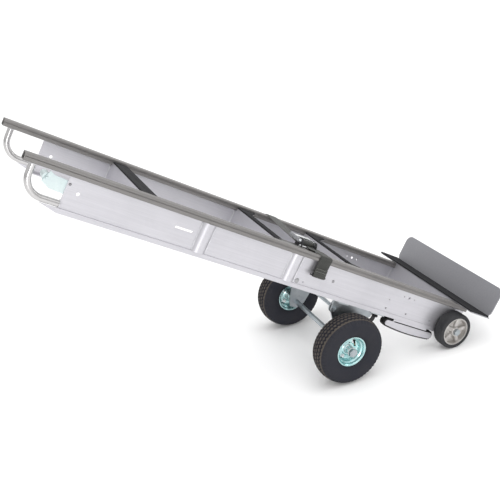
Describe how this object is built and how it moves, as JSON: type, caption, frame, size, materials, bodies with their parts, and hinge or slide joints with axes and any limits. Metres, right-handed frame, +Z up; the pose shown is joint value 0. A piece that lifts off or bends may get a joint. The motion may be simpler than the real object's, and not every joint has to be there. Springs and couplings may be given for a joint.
{
  "type": "convertible hand truck",
  "caption": "Aluminium hand truck that also rolls on four wheels: toe plate, side-plated rails, D handles, stair glides, swinging wheel carriage, cargo strap with ratchet.",
  "frame": {"origin": "on the floor under the middle of the object's bounding box, the truck standing on its four wheels", "axes": "+X from the nose towards the raised handles, +Y to the right-hand side, +Z up"},
  "size_m": [1.6094, 0.594, 1.0157],
  "materials": {
    "rail_alloy": "satin, slightly warm grey",
    "plate_alloy": "mill-finish sheet, light grey",
    "handle_alloy": "bright drawn tube",
    "toe_steel": "satin grey",
    "zinc_plate": "zinc plated",
    "zinc_rim": "zinc plated pressing",
    "axle_steel": "turned and zinc plated",
    "cast_hub": "sand-cast, lightly polished",
    "pneumatic_rubber": "matt charcoal rubber",
    "solid_rubber": "matt black rubber",
    "belt_rubber": "ribbed black rubber",
    "black_plastic": "moulded black nylon",
    "black_steel": "black powder coat",
    "ratchet_zinc": "bright plated",
    "webbing": "woven polyester webbing, olive grey"
  },
  "bodies": {
    "frame": {"carriage_lugs": "zinc_plate", "catch_spring": "axle_steel", "crossbar_front": "plate_alloy", "crossbar_middle": "plate_alloy", "crossbar_rear": "plate_alloy", "glide_belt_left": "belt_rubber", "glide_belt_right": "belt_rubber", "glide_housing_left": "plate_alloy", "glide_housing_right": "plate_alloy", "handle_left": "handle_alloy", "handle_right": "handle_alloy", "nose_axle": "axle_steel", "nose_panel": "plate_alloy", "pad_front": "solid_rubber", "pad_middle": "solid_rubber", "pad_rear": "solid_rubber", "pivot_bar": "axle_steel", "plate_rivets": "axle_steel", "rail_left": "rail_alloy", "rail_right": "rail_alloy", "ratchet_frame": "black_steel", "shaft_nuts": "axle_steel", "side_plate_left": "plate_alloy", "side_plate_right": "plate_alloy", "sill_left": "plate_alloy", "sill_right": "plate_alloy", "stiffener_ribs": "plate_alloy", "stop_beam": "zinc_plate", "strap_end_rod": "black_steel", "strap_webbing": "webbing", "toe_mat": "solid_rubber", "toe_plate": "toe_steel", "winder_bracket": "zinc_plate"},
    "carriage": {"axle_hardware": "axle_steel", "carriage_bracket_left": "zinc_plate", "carriage_bracket_right": "zinc_plate", "main_axle": "axle_steel"},
    "main_wheel_right": {"main_hub_right": "zinc_rim", "main_rim_right": "zinc_rim", "main_tyre_right": "pneumatic_rubber", "rim_bolts_right": "axle_steel", "valve_stem_right": "solid_rubber"},
    "main_wheel_left": {"main_hub_left": "zinc_rim", "main_rim_left": "zinc_rim", "main_tyre_left": "pneumatic_rubber", "rim_bolts_left": "axle_steel", "valve_stem_left": "solid_rubber"},
    "nose_wheel_right": {"nose_hub_right": "cast_hub", "nose_tyre_right": "solid_rubber"},
    "nose_wheel_left": {"nose_hub_left": "cast_hub", "nose_tyre_left": "solid_rubber"},
    "catch": {"carriage_catch": "black_steel"},
    "roller_front_right": {"glide_roller_front_right": "black_plastic"},
    "roller_rear_right": {"glide_roller_rear_right": "black_plastic"},
    "roller_front_left": {"glide_roller_front_left": "black_plastic"},
    "roller_rear_left": {"glide_roller_rear_left": "black_plastic"},
    "lever": {"ratchet_lever": "ratchet_zinc"},
    "spool": {"ratchet_spool": "ratchet_zinc"},
    "winder": {"winder_shaft": "ratchet_zinc"},
    "pawl": {"winder_pawl": "zinc_plate"}
  },
  "joints": [
    {"name": "carriage_swing", "type": "hinge", "parent": "frame", "child": "carriage", "pos_m": [-0.15347, 0, 0.26505], "axis": [0, -1, 0], "range_deg": [0, 82]},
    {"name": "main_wheel_right_spin", "type": "hinge", "parent": "carriage", "child": "main_wheel_right", "pos_m": [-0.16963, 0.23, 0.129], "axis": [0, 1, 0], "continuous": true},
    {"name": "main_wheel_left_spin", "type": "hinge", "parent": "carriage", "child": "main_wheel_left", "pos_m": [-0.16963, -0.23, 0.129], "axis": [0, 1, 0], "continuous": true},
    {"name": "nose_wheel_right_spin", "type": "hinge", "parent": "frame", "child": "nose_wheel_right", "pos_m": [-0.62818, 0.232, 0.07], "axis": [0, 1, 0], "continuous": true},
    {"name": "nose_wheel_left_spin", "type": "hinge", "parent": "frame", "child": "nose_wheel_left", "pos_m": [-0.62818, -0.232, 0.07], "axis": [0, 1, 0], "continuous": true},
    {"name": "catch_press", "type": "hinge", "parent": "frame", "child": "catch", "pos_m": [-0.32508, 0, 0.18596], "axis": [0, -1, 0], "range_deg": [0, 12], "stiffness_Nm_per_rad": 0.3, "springref_deg": -28.65},
    {"name": "roller_front_right_spin", "type": "hinge", "parent": "frame", "child": "roller_front_right", "pos_m": [-0.5405, 0.19, 0.05319], "axis": [0, 1, 0], "continuous": true},
    {"name": "roller_rear_right_spin", "type": "hinge", "parent": "frame", "child": "roller_rear_right", "pos_m": [-0.35285, 0.19, 0.16611], "axis": [0, 1, 0], "continuous": true},
    {"name": "roller_front_left_spin", "type": "hinge", "parent": "frame", "child": "roller_front_left", "pos_m": [-0.5405, -0.19, 0.05319], "axis": [0, 1, 0], "continuous": true},
    {"name": "roller_rear_left_spin", "type": "hinge", "parent": "frame", "child": "roller_rear_left", "pos_m": [-0.35285, -0.19, 0.16611], "axis": [0, 1, 0], "continuous": true},
    {"name": "ratchet_lever_open", "type": "hinge", "parent": "frame", "child": "lever", "pos_m": [-0.05686, 0.158, 0.53441], "axis": [-0.8615, 0, -0.5078], "range_deg": [0, 150]},
    {"name": "ratchet_spool_spin", "type": "hinge", "parent": "frame", "child": "spool", "pos_m": [-0.05686, 0.158, 0.53441], "axis": [0.8615, 0, 0.5078], "continuous": true},
    {"name": "winder_spin", "type": "hinge", "parent": "frame", "child": "winder", "pos_m": [0.74187, 0.17, 0.93203], "axis": [0, 1, 0], "continuous": true},
    {"name": "winder_pawl_lift", "type": "hinge", "parent": "frame", "child": "pawl", "pos_m": [0.7208, 0.1929, 0.91264], "axis": [0, -1, 0], "range_deg": [0, 25]}
  ],
  "couplings": [
    {"joint": "roller_rear_right_spin", "follows": "roller_front_right_spin", "ratio": 1.2597},
    {"joint": "roller_rear_left_spin", "follows": "roller_front_left_spin", "ratio": 1.2597}
  ]
}
